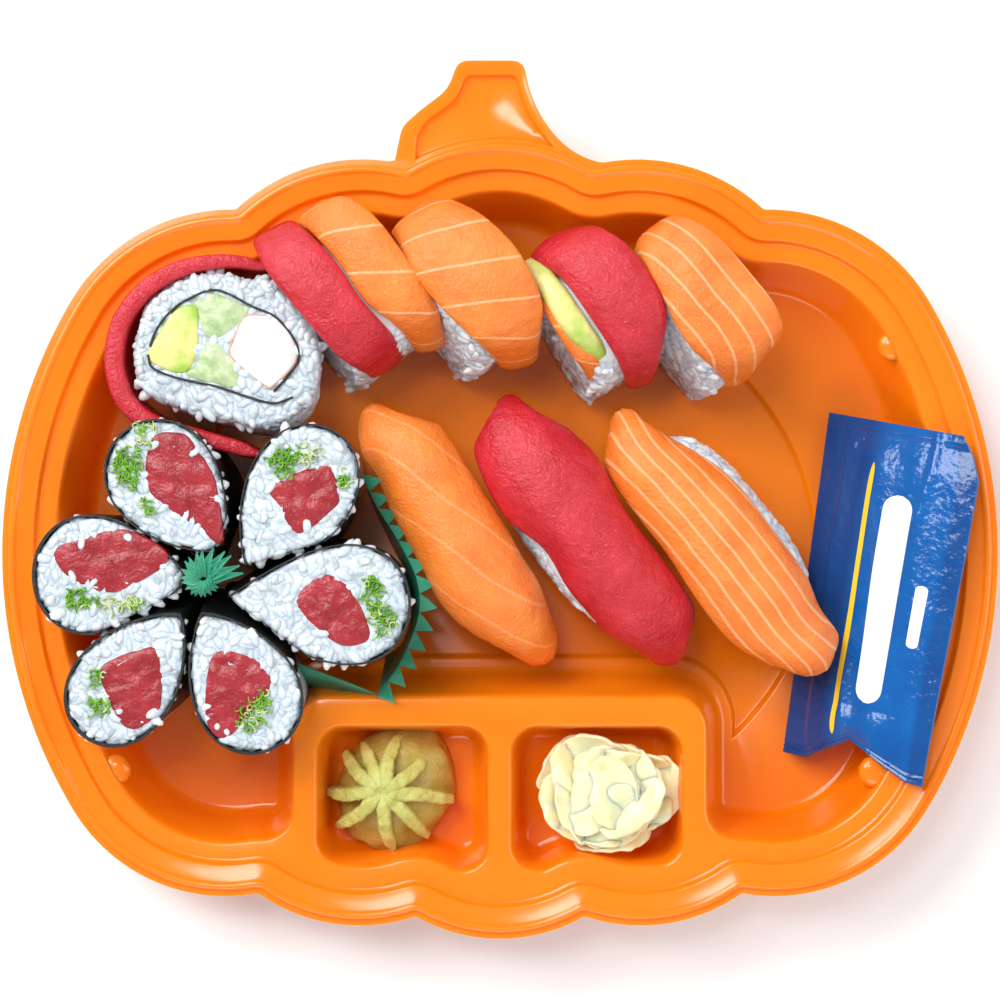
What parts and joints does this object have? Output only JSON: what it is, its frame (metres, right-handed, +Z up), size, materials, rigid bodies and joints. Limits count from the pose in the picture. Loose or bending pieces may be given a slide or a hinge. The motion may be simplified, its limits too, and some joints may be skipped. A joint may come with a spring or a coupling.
{
  "type": "takeaway sushi tray",
  "caption": "Pumpkin-shaped takeaway tray filled with sushi rolls and nigiri, with wasabi, ginger, a green divider and a sauce packet.",
  "frame": {"origin": "middle of the tray's box, on the plane that it stands on", "axes": "+X along the tray's long side, +Y to the stem, +Z up"},
  "size_m": [0.2394, 0.2112, 0.042],
  "materials": {
    "tray_plastic": "glossy orange formed plastic",
    "cut_roll": "moist white rice with dark seaweed round it",
    "rice": "moist cooked rice grains",
    "seaweed": "dark, slightly wrinkled dried seaweed",
    "salmon": "moist raw salmon with pale fat lines",
    "tuna": "moist raw red tuna",
    "avocado": "soft ripe avocado, green at its skin side",
    "vegetable": "chopped green onion and cucumber",
    "crab_stick": "white fish paste stick with an orange skin",
    "wasabi": "grainy green horseradish paste",
    "ginger": "thin moist slices of pickled ginger",
    "packet_film": "glossy printed blue film with plain fields of colour",
    "grass_plastic": "thin translucent green film"
  },
  "bodies": {
    "root": {"tray": "tray_plastic", "rainbow_roll_flat": "cut_roll", "rainbow_roll_1": "salmon", "rainbow_roll_2": "salmon", "rainbow_roll_3": "tuna", "rainbow_roll_4": "salmon", "teardrop_roll_1": "cut_roll", "teardrop_roll_2": "cut_roll", "teardrop_roll_3": "cut_roll", "teardrop_roll_4": "cut_roll", "teardrop_roll_5": "cut_roll", "teardrop_roll_6": "cut_roll", "nigiri_salmon_1": "salmon", "nigiri_tuna": "tuna", "nigiri_salmon_2": "salmon", "wasabi": "wasabi", "ginger": "ginger", "sauce_packet": "packet_film", "grass_fence": "grass_plastic", "grass_rosette": "grass_plastic"}
  },
  "joints": []
}
